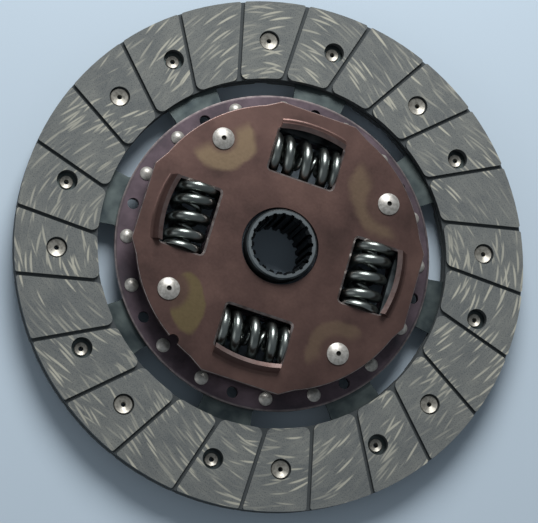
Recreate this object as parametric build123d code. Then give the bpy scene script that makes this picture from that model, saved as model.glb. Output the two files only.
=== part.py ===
from build123d import *
import math
import os

# Clutch disc for a passenger car, in millimetres. The shaft axis is Z, and +Z points to the side that
# carries the front plate. The origin lies on the shaft axis, in the mid-plane of the cushion plates.
# A damper window lies on +X.

# ---------------------------------------------------------------- driving dimensions

# friction facings
FACING_OUTER_R = 100.0
FACING_INNER_R = 68.6
FACING_THICKNESS = 3.2
PAD_COUNT = 24                  # pads that the grooves leave on each facing
GROOVE_WIDTH = 1.5
GROOVE_DEPTH = 1.3
GROOVE_SKEW_R = 18.0            # every groove points past the axis at this distance
GROOVE_ANGLE = -4.2             # first groove's place on the rivet circle, in degrees
PAD_INNER_FILLET = 2.6
PAD_OUTER_FILLET = 0.8

# facing rivets
FACING_RIVET_CIRCLE_R = 84.0
FACING_RIVET_STEP = 18.0        # degrees from a rear rivet to the front rivet on the same cushion plate
FACING_HOLE_R = 4.0             # counterbore round a head, and clearance hole round a tail
COUNTERBORE_DEPTH = 1.9
FACING_RIVET_HEAD_R = 3.5
FACING_RIVET_HEAD_HEIGHT = 0.8
FACING_RIVET_TAIL_R = 2.6
FACING_RIVET_TAIL_HEIGHT = 0.65
FACING_RIVET_SHANK_R = 2.0
FACING_RIVET_BORE_R = 0.95
FACING_RIVET_EDGE = 0.25        # broken edge of the head and of the tail

# cushion plates
CUSHION_COUNT = 8
CUSHION_SHEET = 0.7
CUSHION_RISE = 0.45             # height of a wave's crest above the sheet's mid-plane
CUSHION_FOOT_MARGIN = 3.8       # of the foot, inside its rivets' circle
CUSHION_FOOT_HALF_ANGLE = 17.5
CUSHION_NECK_HALF_ANGLE = 9.0
CUSHION_EDGE_MARGIN = 1.5       # the paddles stop this far inside the facings' outer edge
CUSHION_PADDLE_GAP = 1.0        # degrees between neighbouring paddles
CUSHION_PADDLE_INSET = 2.0      # the paddles start this far outside the facings' inner edge
CUSHION_FLAT_END = 64.0         # the sheet is flat up to here, along the paddle's middle
CUSHION_WAVE_START = 74.0       # and fully waved from here on
CUSHION_FILLET = 2.0
WAVE_STEP = 3.0                 # degrees between the points that shape a wave

# rivets that hold the cushion plates to the disc plate
CUSHION_RIVET_CIRCLE_R = 57.4
CUSHION_RIVET_HALF_STEP = 13.0  # degrees from the middle of a cushion plate to either of its rivets
CUSHION_RIVET_SHANK_R = 2.0
CUSHION_RIVET_HEAD_R = 2.65
CUSHION_RIVET_HEAD_HEIGHT = 1.5
CUSHION_RIVET_HEAD_RIM = 0.3
CUSHION_RIVET_TAIL_R = 2.4
CUSHION_RIVET_TAIL_HEIGHT = 1.0
CUSHION_VIEW_HOLE_R = 2.2

# disc plate and front plate
DISC_PLATE_R = 62.0
DISC_PLATE_THICKNESS = 2.2
FRONT_PLATE_R = 55.5
FRONT_PLATE_THICKNESS = 2.0
FRONT_PLATE_EAR_R = 57.0        # corners of the plate's edge on both sides of a window
FRONT_PLATE_EAR_HALF_ANGLE = 15.5
FRONT_PLATE_EAR_RAMP = 6.5      # degrees from an ear's corner back to the round edge
FRONT_PLATE_CORNER_FILLET = 1.5
PLATE_EDGE_R = 0.45             # rounded front edge of both plates
LOCATING_NOTCH_R = 2.2
LOCATING_NOTCH_ANGLE = 239.0
PLATE_BORE_R = 15.0

# damper windows, with a pressed hood that follows a circle round the shaft along each outer edge
WINDOW_COUNT = 4
WINDOW_CORNER_R = 1.2
WINDOW_SIDE_CLEARANCE = 1.05    # from the coil to a window's long edges, at the plate's inner face
WINDOW_EDGE = 0.8               # rolled edge that the punch leaves round a window
HOOD_LIP_MARGIN = 1.2           # from a window's outer edge, beside the coil, to the hood's lip
HOOD_RISE = 3.4
HOOD_ANGLE = 60.0               # slope of the raised sheet
HOOD_BEND_R = 1.5               # inside radius of the bend at the hood's foot

# damper springs: four outer coils, each with a smaller coil wound the other way inside it
SPRING_CIRCLE_R = 36.0
SPRING_LENGTH = 26.0
SPRING_END_CLEARANCE = 0.03
OUTER_SPRING_OUTER_R = 8.6
OUTER_SPRING_WIRE_R = 2.0
OUTER_SPRING_PITCH = 7.0
OUTER_SPRING_END_PITCH = 4.6
OUTER_SPRING_START = 0.25       # turns from the wire's end to where it first faces the front plate
INNER_SPRING_CLEARANCE = 0.5
INNER_SPRING_WIRE_R = 1.1
INNER_SPRING_PITCH = 4.6
INNER_SPRING_END_PITCH = 2.7
INNER_SPRING_START = 0.07
SPRINGS_END_FOR_END = (True, True, False, False)    # how each window's springs happen to lie

# hub
HUB_BARREL_R = 13.65
HUB_FRONT_STANDOUT = 3.5        # above the front plate
HUB_REAR_STANDOUT = 5.0         # behind the rear facing
HUB_RIM_CHAMFER = 0.6
FLANGE_R = 50.0
FLANGE_THICKNESS = 3.6
FLANGE_WINDOW_CLEARANCE = 0.5   # from the coil to the long edges of the flange's window
SPLINE_COUNT = 21
SPLINE_TIP_R = 10.6
SPLINE_ROOT_R = 12.1
SPLINE_SPACE_TIP_SHARE = 0.56   # share of the tooth pitch that is open at the tips
SPLINE_SPACE_ROOT_SHARE = 0.34  # and at the roots
SPLINE_LEAD_IN = 1.2

# stop pins, which rivet the two plates together and stop the hub's flange
STOP_PIN_CIRCLE_R = 46.5
STOP_PIN_SHIFT = 5.5            # degrees that every other pin stands back from the middle between two windows
STOP_PIN_BODY_R = 4.0
STOP_PIN_SHANK_R = 3.0
STOP_PIN_HEAD_R = 4.25
STOP_PIN_HEAD_HEIGHT = 1.7
STOP_PIN_HEAD_RIM = 0.5
STOP_PIN_DIMPLE_R = 0.9
STOP_PIN_DIMPLE_DEPTH = 1.0
HUB_TRAVEL = 7.0                # degrees that the hub turns each way

# friction damping between the flange and the plates
FRICTION_RING_R = 25.0
FRICTION_BUSH_THICKNESS = 2.5
FRICTION_WASHER_THICKNESS = 1.0
THRUST_PLATE_THICKNESS = 0.6
CONE_SPRING_SHEET = 0.45
CONE_SPRING_HEIGHT = 0.9
CONE_SPRING_INNER_R = 15.6
CONE_SPRING_OUTER_R = 24.4

# named clearances
SEAT_CLEARANCE = 0.02           # between pressed parts that only rest on each other
RUNNING_CLEARANCE = 0.05        # between the hub and what it turns in or on
RIVET_CLEARANCE = 0.05          # round a shank
STOP_CLEARANCE = 0.1            # left at the end of the hub's travel
WASHER_CLEARANCE = 0.35         # round the barrel, for rings that it doesn't run in

# ---------------------------------------------------------------- heights that follow from the stack

PACK_HALF_GAP = CUSHION_RISE + CUSHION_SHEET / 2 + SEAT_CLEARANCE
FACING_FACE_Z = PACK_HALF_GAP + FACING_THICKNESS
DISC_PLATE_REAR_Z = CUSHION_SHEET / 2
DISC_PLATE_FRONT_Z = DISC_PLATE_REAR_Z + DISC_PLATE_THICKNESS
FLANGE_REAR_Z = DISC_PLATE_FRONT_Z + FRICTION_BUSH_THICKNESS + SEAT_CLEARANCE
FLANGE_FRONT_Z = FLANGE_REAR_Z + FLANGE_THICKNESS
WASHER_REAR_Z = FLANGE_FRONT_Z + SEAT_CLEARANCE
THRUST_PLATE_REAR_Z = WASHER_REAR_Z + FRICTION_WASHER_THICKNESS
CONE_SPRING_REAR_Z = THRUST_PLATE_REAR_Z + THRUST_PLATE_THICKNESS
FRONT_PLATE_REAR_Z = CONE_SPRING_REAR_Z + CONE_SPRING_HEIGHT
FRONT_PLATE_FRONT_Z = FRONT_PLATE_REAR_Z + FRONT_PLATE_THICKNESS
HUB_REAR_Z = -FACING_FACE_Z - HUB_REAR_STANDOUT
HUB_FRONT_Z = FRONT_PLATE_FRONT_Z + HUB_FRONT_STANDOUT
SPRING_AXIS_Z = (DISC_PLATE_FRONT_Z + FRONT_PLATE_REAR_Z) / 2

# ---------------------------------------------------------------- sizes that follow from others

CUSHION_STEP = 360 / CUSHION_COUNT
WINDOW_STEP = 360 / WINDOW_COUNT
WINDOW_WIDTH = SPRING_LENGTH + 2 * SPRING_END_CLEARANCE
PLATE_WINDOW_HALF_HEIGHT = WINDOW_SIDE_CLEARANCE + math.sqrt(
    OUTER_SPRING_OUTER_R**2 - (FRONT_PLATE_REAR_Z - SPRING_AXIS_Z) ** 2
)
PLATE_WINDOW_INNER = SPRING_CIRCLE_R - PLATE_WINDOW_HALF_HEIGHT
HOOD_LIP_R = SPRING_CIRCLE_R + PLATE_WINDOW_HALF_HEIGHT + HOOD_LIP_MARGIN
INNER_SPRING_OUTER_R = OUTER_SPRING_OUTER_R - 2 * OUTER_SPRING_WIRE_R - INNER_SPRING_CLEARANCE
STOP_PIN_ANGLES = [
    WINDOW_STEP * (index + 0.5) - STOP_PIN_SHIFT * (1 - index % 2) for index in range(WINDOW_COUNT)
]
PADDLE_MIDDLE_ANGLE = FACING_RIVET_STEP / 2
PADDLE_HALF_ANGLE = (CUSHION_STEP - CUSHION_PADDLE_GAP) / 2
FACING_HALF_TURN = Axis(
    (0, 0, 0), (math.cos(math.radians(PADDLE_MIDDLE_ANGLE)), math.sin(math.radians(PADDLE_MIDDLE_ANGLE)), 0)
)

# ---------------------------------------------------------------- helpers


def polar(radius, angle, z=0.0):
    """Point at a radius and an angle in degrees round the shaft axis."""
    return (radius * math.cos(math.radians(angle)), radius * math.sin(math.radians(angle)), z)


def around(shape, angles):
    """Copies of a shape, turned round the shaft axis to each angle."""
    return [Rot(0, 0, angle) * shape for angle in angles]


def evenly(count, first=0.0):
    """Angles of evenly spaced features round the shaft axis."""
    return [first + 360 / count * index for index in range(count)]


def ring(outer_r, inner_r, z_low, z_high):
    """Flat ring between two heights."""
    return Pos(0, 0, z_low) * extrude(Circle(outer_r) - Circle(inner_r), z_high - z_low)


def ring_sector(inner_r, outer_r, start, end):
    """Flat sector of a ring, between two radii and two angles."""
    outer = CenterArc((0, 0), outer_r, start, end - start)
    inner = CenterArc((0, 0), inner_r, start, end - start)
    return make_face([outer, inner, Line(outer @ 0, inner @ 0), Line(outer @ 1, inner @ 1)])


def holes(radius, circle_r, angles, z_low, z_high):
    """Drills for round holes on a circle."""
    drill = Pos(circle_r, 0, (z_low + z_high) / 2) * Cylinder(radius, z_high - z_low)
    return around(drill, angles)


def turned(points):
    """Solid of revolution round the shaft axis from (radius, height) points."""
    outline = Polyline([(radius, 0, z) for radius, z in points], close=True)
    return revolve(make_face(outline), Axis.Z)


def write(name, shape):
    """Write one piece to its own STEP file."""
    export_step(shape, os.path.join("parts", name + ".step"))


# ---------------------------------------------------------------- facings and their rivets


def facing():
    """Front facing: a web ring with grooved pads, and alternating counterbored and clearance holes."""
    groove_length = FACING_OUTER_R
    first = GROOVE_ANGLE - math.degrees(math.asin(GROOVE_SKEW_R / FACING_RIVET_CIRCLE_R))
    groove = Pos(groove_length, GROOVE_SKEW_R) * Rectangle(groove_length, GROOVE_WIDTH)
    pads = Circle(FACING_OUTER_R) - Circle(FACING_INNER_R) - around(groove, evenly(PAD_COUNT, first))
    inner_corners = [v for v in pads.vertices() if math.hypot(v.X, v.Y) < FACING_RIVET_CIRCLE_R]
    pads = fillet(inner_corners, PAD_INNER_FILLET)
    outer_corners = [v for v in pads.vertices() if math.hypot(v.X, v.Y) > FACING_OUTER_R - GROOVE_WIDTH / 2]
    pads = fillet(outer_corners, PAD_OUTER_FILLET)
    web_top = FACING_FACE_Z - GROOVE_DEPTH
    body = ring(FACING_OUTER_R, FACING_INNER_R, PACK_HALF_GAP, web_top)
    body += Pos(0, 0, web_top) * extrude(pads, GROOVE_DEPTH)

    own = evenly(CUSHION_COUNT, FACING_RIVET_STEP)
    others = evenly(CUSHION_COUNT)
    seat_z = FACING_FACE_Z - COUNTERBORE_DEPTH
    shank_hole_r = FACING_RIVET_SHANK_R + RIVET_CLEARANCE
    body -= holes(FACING_HOLE_R, FACING_RIVET_CIRCLE_R, own, seat_z, FACING_FACE_Z)
    body -= holes(shank_hole_r, FACING_RIVET_CIRCLE_R, own, PACK_HALF_GAP, seat_z)
    body -= holes(FACING_HOLE_R, FACING_RIVET_CIRCLE_R, others, PACK_HALF_GAP, FACING_FACE_Z)
    return body


def facing_rivets():
    """Tubular rivets of the front facing: heads in its counterbores, tails behind the cushion crests."""
    seat_z = FACING_FACE_Z - COUNTERBORE_DEPTH
    head_z = seat_z + FACING_RIVET_HEAD_HEIGHT
    clinch_z = CUSHION_RISE - CUSHION_SHEET / 2 - RIVET_CLEARANCE
    tail_z = clinch_z - FACING_RIVET_TAIL_HEIGHT
    rivet = turned([
        (FACING_RIVET_BORE_R, tail_z),
        (FACING_RIVET_BORE_R, head_z),
        (FACING_RIVET_HEAD_R - FACING_RIVET_EDGE, head_z),
        (FACING_RIVET_HEAD_R, head_z - FACING_RIVET_EDGE),
        (FACING_RIVET_HEAD_R, seat_z),
        (FACING_RIVET_SHANK_R, seat_z),
        (FACING_RIVET_SHANK_R, clinch_z),
        (FACING_RIVET_TAIL_R, clinch_z),
        (FACING_RIVET_TAIL_R, tail_z + FACING_RIVET_EDGE),
        (FACING_RIVET_TAIL_R - FACING_RIVET_EDGE, tail_z),
    ])
    placed = Pos(FACING_RIVET_CIRCLE_R, 0) * rivet
    return Compound(around(placed, evenly(CUSHION_COUNT, FACING_RIVET_STEP)))


# ---------------------------------------------------------------- cushion plates


def cushion_outline():
    """Outline of a cushion plate: a foot under the disc plate, a neck, and a paddle between the facings."""
    paddle_inner = FACING_INNER_R + CUSHION_PADDLE_INSET
    paddle_outer = FACING_OUTER_R - CUSHION_EDGE_MARGIN
    foot_inner = CUSHION_RIVET_CIRCLE_R - CUSHION_FOOT_MARGIN
    foot = ring_sector(foot_inner, DISC_PLATE_R - CUSHION_SHEET,
                       -CUSHION_FOOT_HALF_ANGLE, CUSHION_FOOT_HALF_ANGLE)
    neck = ring_sector(foot_inner, paddle_inner + CUSHION_PADDLE_INSET,
                       -CUSHION_NECK_HALF_ANGLE, CUSHION_NECK_HALF_ANGLE)
    paddle = ring_sector(paddle_inner, paddle_outer,
                         PADDLE_MIDDLE_ANGLE - PADDLE_HALF_ANGLE, PADDLE_MIDDLE_ANGLE + PADDLE_HALF_ANGLE)
    outline = foot + neck + paddle
    return fillet(outline.vertices(), CUSHION_FILLET)


def sheet_section(distance, rise):
    """Cross-section of the sheet at a distance along the paddle's middle, with waves of the given rise."""
    span = math.ceil((PADDLE_HALF_ANGLE + 1) / WAVE_STEP)
    middle = []
    for index in range(-span, span + 1):
        angle = math.radians(WAVE_STEP * index)
        phase = math.radians(180 * (WAVE_STEP * index + PADDLE_MIDDLE_ANGLE) / FACING_RIVET_STEP)
        middle.append((distance, distance * math.tan(angle), -rise * math.cos(phase)))
    faces_z = (CUSHION_SHEET / 2, -CUSHION_SHEET / 2)
    top, bottom = [Spline([(x, y, z + offset) for x, y, z in middle]) for offset in faces_z]
    return make_face([top, bottom, Line(top @ 0, bottom @ 0), Line(top @ 1, bottom @ 1)])


def cushion_plate():
    """Cushion plate on +X: flat foot and neck, and a paddle that waves between the two facings."""
    outline = cushion_outline()
    reach = FACING_OUTER_R
    along_paddle = Rot(0, 0, PADDLE_MIDDLE_ANGLE)
    flat_side = along_paddle * Pos(CUSHION_FLAT_END - reach, 0) * Rectangle(2 * reach, 2 * reach)
    flat = extrude(outline & flat_side, CUSHION_SHEET / 2, both=True)
    waved = loft([
        sheet_section(CUSHION_FLAT_END, 0.0),
        sheet_section(CUSHION_WAVE_START, CUSHION_RISE),
        sheet_section(reach, CUSHION_RISE),
    ], ruled=True)
    waved = (along_paddle * waved) & extrude(outline - flat_side, CUSHION_SHEET + CUSHION_RISE, both=True)
    plate = flat + waved

    depth = CUSHION_RISE + CUSHION_SHEET
    foot_rivets = (-CUSHION_RIVET_HALF_STEP, CUSHION_RIVET_HALF_STEP)
    foot_hole_r = CUSHION_RIVET_SHANK_R + RIVET_CLEARANCE
    plate -= holes(foot_hole_r, CUSHION_RIVET_CIRCLE_R, foot_rivets, -depth, depth)
    plate -= holes(CUSHION_VIEW_HOLE_R, CUSHION_RIVET_CIRCLE_R, [0], -depth, depth)
    paddle_rivets = (0, FACING_RIVET_STEP)
    paddle_hole_r = FACING_RIVET_SHANK_R + RIVET_CLEARANCE
    plate -= holes(paddle_hole_r, FACING_RIVET_CIRCLE_R, paddle_rivets, -depth, depth)
    return plate


def cushion_rivet_angles():
    """Angles of all rivets that hold the cushion plates' feet."""
    return [
        middle + side * CUSHION_RIVET_HALF_STEP for middle in evenly(CUSHION_COUNT) for side in (-1, 1)
    ]


def domed_head(head_r, height, rim, z):
    """Round head that stands on height z: a low rim under a spherical dome."""
    dome_height = height - rim
    dome_r = (head_r**2 + dome_height**2) / (2 * dome_height)
    blank = Pos(0, 0, z) * extrude(Circle(head_r), height)
    return blank & Pos(0, 0, z + height - dome_r) * Sphere(dome_r)


def cushion_rivets():
    """Rivets through the disc plate and the cushion feet, domed in front and flat behind."""
    rear_z = -CUSHION_SHEET / 2
    shank = Pos(0, 0, rear_z) * extrude(Circle(CUSHION_RIVET_SHANK_R), DISC_PLATE_FRONT_Z - rear_z)
    tail = Pos(0, 0, rear_z - CUSHION_RIVET_TAIL_HEIGHT) * extrude(
        Circle(CUSHION_RIVET_TAIL_R), CUSHION_RIVET_TAIL_HEIGHT
    )
    head = domed_head(
        CUSHION_RIVET_HEAD_R, CUSHION_RIVET_HEAD_HEIGHT, CUSHION_RIVET_HEAD_RIM, DISC_PLATE_FRONT_Z
    )
    rivet = Pos(CUSHION_RIVET_CIRCLE_R, 0) * (shank + tail + head)
    return Compound(around(rivet, cushion_rivet_angles()))


# ---------------------------------------------------------------- plates of the damper


def window_outline(half_height, corner_r):
    """Window for a damper spring on +X, with rounded corners."""
    return Pos(SPRING_CIRCLE_R, 0) * RectangleRounded(2 * half_height, WINDOW_WIDTH, corner_r)


def hood_section(thickness):
    """Section of a hood at Y = 0: the sheet bends up from the plane Z = 0 and ends in a square lip."""
    slope = math.radians(HOOD_ANGLE)
    straight = (HOOD_RISE - HOOD_BEND_R * (1 - math.cos(slope))) / math.sin(slope)
    foot_r = hood_foot_r(thickness)

    def face_line(bend_r):
        """Bend and straight of one face of the sheet, from the foot to the lip."""
        bend = [
            (foot_r - bend_r * math.sin(turn), 0, thickness + HOOD_BEND_R - bend_r * math.cos(turn))
            for turn in (0, slope / 2, slope)
        ]
        lip = (bend[2][0] - straight * math.cos(slope), 0, bend[2][2] + straight * math.sin(slope))
        return ThreePointArc(*bend), Line(bend[2], lip)

    upper_bend, upper = face_line(HOOD_BEND_R)
    lower_bend, lower = face_line(HOOD_BEND_R + thickness)
    return make_face([
        upper_bend, upper, Line(upper @ 1, lower @ 1), lower, lower_bend, Line(lower_bend @ 0, upper_bend @ 0)
    ])


def hood_foot_r(thickness):
    """Distance from the shaft axis at which a hood starts to rise."""
    slope = math.radians(HOOD_ANGLE)
    straight = (HOOD_RISE - HOOD_BEND_R * (1 - math.cos(slope))) / math.sin(slope)
    return HOOD_LIP_R + (HOOD_BEND_R + thickness) * math.sin(slope) + straight * math.cos(slope)


def damper_plate(outline, thickness):
    """Plate of the damper, lying on Z = 0 with its hoods pressed up, before its rivet holes are cut."""
    plate = extrude(outline, thickness)
    rim = plate.faces().sort_by(Axis.Z)[-1].outer_wire().edges()
    plate = fillet(rim, PLATE_EDGE_R)

    foot_r = hood_foot_r(thickness)
    reach = foot_r - PLATE_WINDOW_INNER
    opening = Pos(PLATE_WINDOW_INNER + reach, 0) * Rectangle(2 * reach, WINDOW_WIDTH)
    opening = fillet(opening.vertices(), WINDOW_CORNER_R) & Circle(foot_r)
    plate -= around(extrude(opening, thickness), evenly(WINDOW_COUNT))
    rolled = Pos(0, 0, thickness - WINDOW_EDGE) * extrude(
        window_outline(PLATE_WINDOW_HALF_HEIGHT, WINDOW_CORNER_R), WINDOW_EDGE, taper=-45
    )
    plate -= around(rolled, evenly(WINDOW_COUNT))

    height = thickness + HOOD_RISE
    width = Pos(foot_r / 2, 0, height / 2) * Box(foot_r, WINDOW_WIDTH, height)
    hood = revolve(hood_section(thickness), Axis.Z) & width
    plate += around(hood, evenly(WINDOW_COUNT))
    plate -= extrude(Circle(PLATE_BORE_R), thickness)
    plate -= holes(STOP_PIN_SHANK_R + RIVET_CLEARANCE, STOP_PIN_CIRCLE_R, STOP_PIN_ANGLES, 0, thickness)
    return plate


def disc_plate():
    """Rear plate of the damper, which carries the cushion plates. Its hoods point to the rear."""
    depth = DISC_PLATE_THICKNESS
    plate = damper_plate(Circle(DISC_PLATE_R), depth)
    plate = plate.mirror(Plane.XY)
    plate = Pos(0, 0, DISC_PLATE_FRONT_Z) * plate
    plate -= holes(CUSHION_RIVET_SHANK_R + RIVET_CLEARANCE, CUSHION_RIVET_CIRCLE_R, cushion_rivet_angles(),
                   DISC_PLATE_REAR_Z, DISC_PLATE_FRONT_Z)
    plate -= holes(CUSHION_VIEW_HOLE_R, CUSHION_RIVET_CIRCLE_R, evenly(CUSHION_COUNT),
                   DISC_PLATE_REAR_Z, DISC_PLATE_FRONT_Z)
    return plate


def front_plate_outline():
    """Outline of the front plate: round between the windows, flat with a corner on each side past them."""
    ear = FRONT_PLATE_EAR_HALF_ANGLE
    foot = ear + FRONT_PLATE_EAR_RAMP
    edges = []
    for middle in evenly(WINDOW_COUNT):
        corner_points = [
            polar(FRONT_PLATE_R, middle - foot),
            polar(FRONT_PLATE_EAR_R, middle - ear),
            polar(FRONT_PLATE_EAR_R, middle + ear),
            polar(FRONT_PLATE_R, middle + foot),
        ]
        edges.append(Polyline(corner_points))
        edges.append(CenterArc((0, 0), FRONT_PLATE_R, middle + foot, WINDOW_STEP - 2 * foot))
    outline = make_face(edges)
    return fillet(outline.vertices(), FRONT_PLATE_CORNER_FILLET)


def front_plate():
    """Front plate of the damper. Its hoods point to the front, and one half-round notch locates it."""
    plate = Pos(0, 0, FRONT_PLATE_REAR_Z) * damper_plate(front_plate_outline(), FRONT_PLATE_THICKNESS)
    plate -= holes(LOCATING_NOTCH_R, FRONT_PLATE_R, [LOCATING_NOTCH_ANGLE],
                   FRONT_PLATE_REAR_Z, FRONT_PLATE_FRONT_Z)
    return plate


def stop_pin(angle):
    """Shouldered pin between the plates, riveted over at both ends, with a dimple in its front head."""
    body = Pos(0, 0, DISC_PLATE_FRONT_Z) * extrude(
        Circle(STOP_PIN_BODY_R), FRONT_PLATE_REAR_Z - DISC_PLATE_FRONT_Z
    )
    shank = Pos(0, 0, DISC_PLATE_REAR_Z) * extrude(
        Circle(STOP_PIN_SHANK_R), FRONT_PLATE_FRONT_Z - DISC_PLATE_REAR_Z
    )
    head = domed_head(STOP_PIN_HEAD_R, STOP_PIN_HEAD_HEIGHT, STOP_PIN_HEAD_RIM, 0)
    front_head = Pos(0, 0, FRONT_PLATE_FRONT_Z) * head
    rear_head = Pos(0, 0, DISC_PLATE_REAR_Z) * head.mirror(Plane.XY)
    pin = body + shank + front_head + rear_head
    dimple_z = FRONT_PLATE_FRONT_Z + STOP_PIN_HEAD_HEIGHT
    pin -= Pos(0, 0, dimple_z - STOP_PIN_DIMPLE_DEPTH) * extrude(
        Circle(STOP_PIN_DIMPLE_R), STOP_PIN_DIMPLE_DEPTH
    )
    return Rot(0, 0, angle) * Pos(STOP_PIN_CIRCLE_R, 0) * pin


# ---------------------------------------------------------------- damper springs


def coil(outer_r, wire_r, pitch, end_pitch, start, lefthand):
    """Coil spring along Z, centred on the origin, with closed end turns that are ground flat.

    The wire crosses the spring's -Y side the given number of turns after its end.
    """
    turn_r = outer_r - wire_r
    sense = -1 if lefthand else 1
    open_length = SPRING_LENGTH - 2 * end_pitch
    open_angle = sense * 360 * open_length / pitch
    lower = Helix(end_pitch, end_pitch, turn_r, lefthand=lefthand)
    middle = Pos(0, 0, end_pitch) * Helix(pitch, open_length, turn_r, lefthand=lefthand)
    upper = Pos(0, 0, SPRING_LENGTH - end_pitch) * Rot(0, 0, open_angle) * lower
    path = Wire([lower, middle, upper])
    section = Plane(origin=path @ 0, z_dir=path % 0) * Circle(wire_r)
    wound = Pos(0, 0, -SPRING_LENGTH / 2) * sweep(section, path=path, is_frenet=True)
    ground = wound & Cylinder(2 * outer_r, SPRING_LENGTH)
    return Rot(0, 0, -90 - sense * 360 * start) * ground


def damper_spring(spring, angle, end_for_end):
    """A coil laid in the window at an angle, with its axis across the radius, either way round."""
    laid = Rot(0, 0, 180 if end_for_end else 0) * Rot(-90, 0, 0) * spring
    return Rot(0, 0, angle) * Pos(SPRING_CIRCLE_R, 0, SPRING_AXIS_Z) * laid


# ---------------------------------------------------------------- hub


def spline_space():
    """Space between two teeth of the hub's spline, on +X: wide at the tips and narrow at the roots."""
    pitch = 2 * math.pi / SPLINE_COUNT
    tip_half = SPLINE_TIP_R * pitch * SPLINE_SPACE_TIP_SHARE / 2
    root_half = SPLINE_ROOT_R * pitch * SPLINE_SPACE_ROOT_SHARE / 2
    tip_x = math.sqrt(SPLINE_TIP_R**2 - tip_half**2)
    root_x = math.sqrt(SPLINE_ROOT_R**2 - root_half**2)
    flanks = Polyline(
        (root_x, root_half), (tip_x, tip_half), (0, 0), (tip_x, -tip_half), (root_x, -root_half)
    )
    root = ThreePointArc((root_x, root_half), (SPLINE_ROOT_R, 0), (root_x, -root_half))
    return make_face([flanks, root])


def flange_outline():
    """Outline of the hub's flange: a window for each spring and an open slot for each stop pin."""
    coil_half_height = OUTER_SPRING_OUTER_R + FLANGE_WINDOW_CLEARANCE
    flange = Circle(FLANGE_R)
    flange -= around(window_outline(coil_half_height, FLANGE_WINDOW_CLEARANCE), evenly(WINDOW_COUNT))
    slot_half_height = STOP_PIN_BODY_R + STOP_CLEARANCE
    for angle in STOP_PIN_ANGLES:
        track = CenterArc((0, 0), STOP_PIN_CIRCLE_R, angle - HUB_TRAVEL, 2 * HUB_TRAVEL)
        reach = HUB_TRAVEL + math.degrees(math.asin(slot_half_height / STOP_PIN_CIRCLE_R))
        flange -= SlotArc(track, 2 * slot_half_height)
        flange -= ring_sector(STOP_PIN_CIRCLE_R, FLANGE_R + slot_half_height, angle - reach, angle + reach)
    return flange


def hub():
    """Splined hub, forged in one piece with the flange that the springs drive."""
    barrel = turned([
        (0, HUB_REAR_Z),
        (HUB_BARREL_R - HUB_RIM_CHAMFER, HUB_REAR_Z),
        (HUB_BARREL_R, HUB_REAR_Z + HUB_RIM_CHAMFER),
        (HUB_BARREL_R, HUB_FRONT_Z - HUB_RIM_CHAMFER),
        (HUB_BARREL_R - HUB_RIM_CHAMFER, HUB_FRONT_Z),
        (0, HUB_FRONT_Z),
    ])
    body = barrel + Pos(0, 0, FLANGE_REAR_Z) * extrude(flange_outline(), FLANGE_THICKNESS)

    length = HUB_FRONT_Z - HUB_REAR_Z
    bore = Circle(SPLINE_TIP_R) + around(spline_space(), evenly(SPLINE_COUNT))
    body -= Pos(0, 0, HUB_REAR_Z) * extrude(bore, length)
    lead_in = turned([
        (0, 0),
        (SPLINE_TIP_R + SPLINE_LEAD_IN, 0),
        (SPLINE_TIP_R, SPLINE_LEAD_IN),
        (0, SPLINE_LEAD_IN),
    ])
    body -= Pos(0, 0, HUB_REAR_Z) * lead_in
    body -= Pos(0, 0, HUB_FRONT_Z) * lead_in.mirror(Plane.XY)
    return body


# ---------------------------------------------------------------- friction damping


def friction_bush():
    """Flanged bush that centres the disc plate on the hub and rubs on the flange's rear face."""
    bore_r = HUB_BARREL_R + RUNNING_CLEARANCE
    collar_r = PLATE_BORE_R - RUNNING_CLEARANCE
    return turned([
        (bore_r, DISC_PLATE_REAR_Z),
        (collar_r, DISC_PLATE_REAR_Z),
        (collar_r, DISC_PLATE_FRONT_Z),
        (FRICTION_RING_R, DISC_PLATE_FRONT_Z),
        (FRICTION_RING_R, FLANGE_REAR_Z - SEAT_CLEARANCE),
        (bore_r, FLANGE_REAR_Z - SEAT_CLEARANCE),
    ])


def cone_spring():
    """Dished spring washer that loads the friction rings against the front plate."""
    top = CONE_SPRING_REAR_Z + CONE_SPRING_HEIGHT
    return turned([
        (CONE_SPRING_INNER_R, CONE_SPRING_REAR_Z),
        (CONE_SPRING_OUTER_R, top - CONE_SPRING_SHEET),
        (CONE_SPRING_OUTER_R, top),
        (CONE_SPRING_INNER_R, CONE_SPRING_REAR_Z + CONE_SPRING_SHEET),
    ])


# ---------------------------------------------------------------- assembly

os.makedirs("parts", exist_ok=True)

front_facing = facing()
front_rivets = facing_rivets()
write("front_facing", front_facing)
write("rear_facing", front_facing.rotate(FACING_HALF_TURN, 180))
write("front_facing_rivets", front_rivets)
write("rear_facing_rivets", front_rivets.rotate(FACING_HALF_TURN, 180))

cushion = cushion_plate()
for number, angle in enumerate(evenly(CUSHION_COUNT), start=1):
    write(f"cushion_plate_{number}", Rot(0, 0, angle) * cushion)
write("cushion_rivets", cushion_rivets())

write("disc_plate", disc_plate())
write("front_plate", front_plate())
for number, angle in enumerate(STOP_PIN_ANGLES, start=1):
    write(f"stop_pin_{number}", stop_pin(angle))

outer_coil = coil(
    OUTER_SPRING_OUTER_R, OUTER_SPRING_WIRE_R, OUTER_SPRING_PITCH, OUTER_SPRING_END_PITCH,
    OUTER_SPRING_START, lefthand=False,
)
inner_coil = coil(
    INNER_SPRING_OUTER_R, INNER_SPRING_WIRE_R, INNER_SPRING_PITCH, INNER_SPRING_END_PITCH,
    INNER_SPRING_START, lefthand=True,
)
for number, angle in enumerate(evenly(WINDOW_COUNT), start=1):
    end_for_end = SPRINGS_END_FOR_END[(number - 1) % len(SPRINGS_END_FOR_END)]
    write(f"outer_spring_{number}", damper_spring(outer_coil, angle, end_for_end))
    write(f"inner_spring_{number}", damper_spring(inner_coil, angle, end_for_end))

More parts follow.
